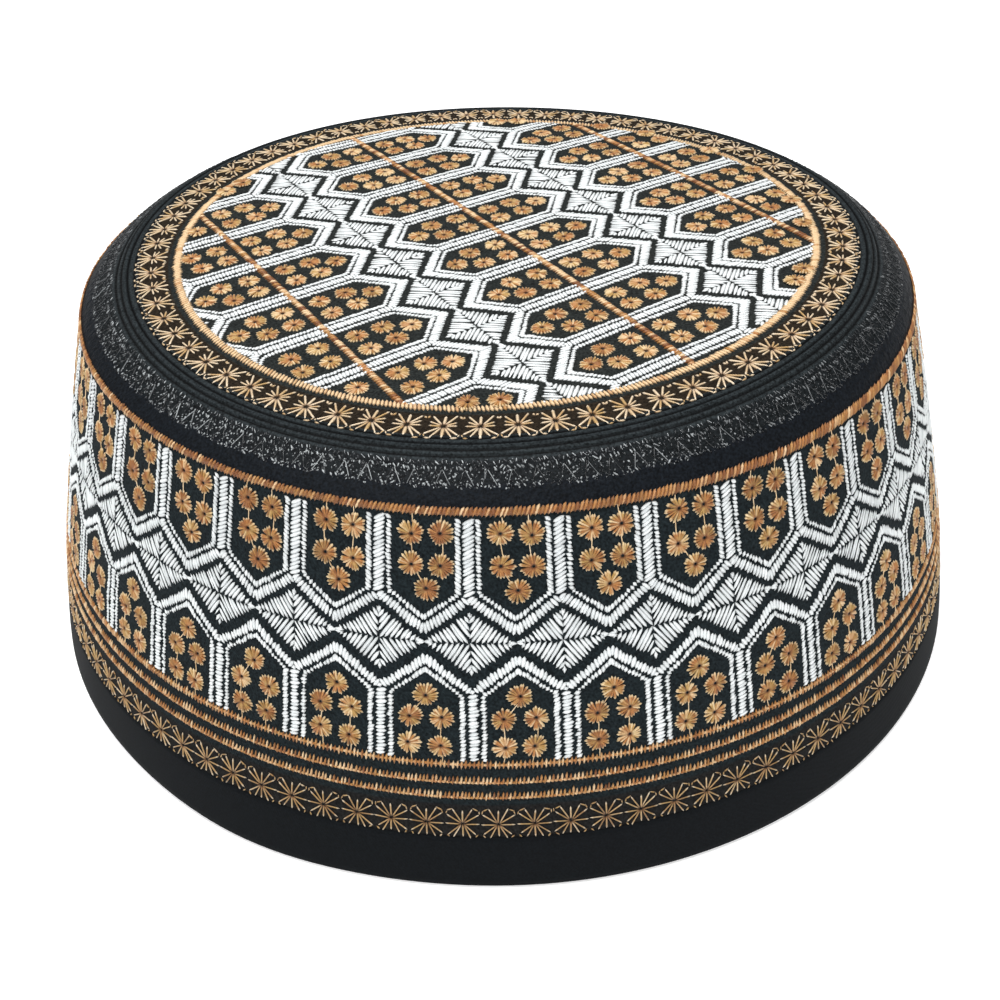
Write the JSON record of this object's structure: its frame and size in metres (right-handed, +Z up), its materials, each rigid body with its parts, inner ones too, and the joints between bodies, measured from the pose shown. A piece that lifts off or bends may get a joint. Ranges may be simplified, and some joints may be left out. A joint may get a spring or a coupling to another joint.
{
  "type": "kufi",
  "caption": "Stiff round kufi with a flat top, standing on its hem: black cloth embroidered with white diamonds and hexagons, tan flowers, tan lines and bands of tan stars.",
  "frame": {"origin": "centre of the hem's foot, on the surface that the cap stands on", "axes": "+Z up through the crown, -Y towards the front of the picture, +X to its right"},
  "size_m": [0.1926, 0.195, 0.0795],
  "materials": {
    "crown_cloth": "matte black twill, stiffened",
    "rim_cloth": "black cloth sewn over with glossy black thread",
    "wall_cloth": "matte black twill, stiffened",
    "hem_cloth": "plain matte black",
    "white_thread": "satin stitch, soft sheen",
    "tan_thread": "satin stitch, soft sheen",
    "black_thread": "glossy thread"
  },
  "bodies": {
    "root": {"crown_panel": "crown_cloth", "crown_rim": "rim_cloth", "side_wall": "wall_cloth", "hem_band": "hem_cloth"}
  },
  "joints": []
}
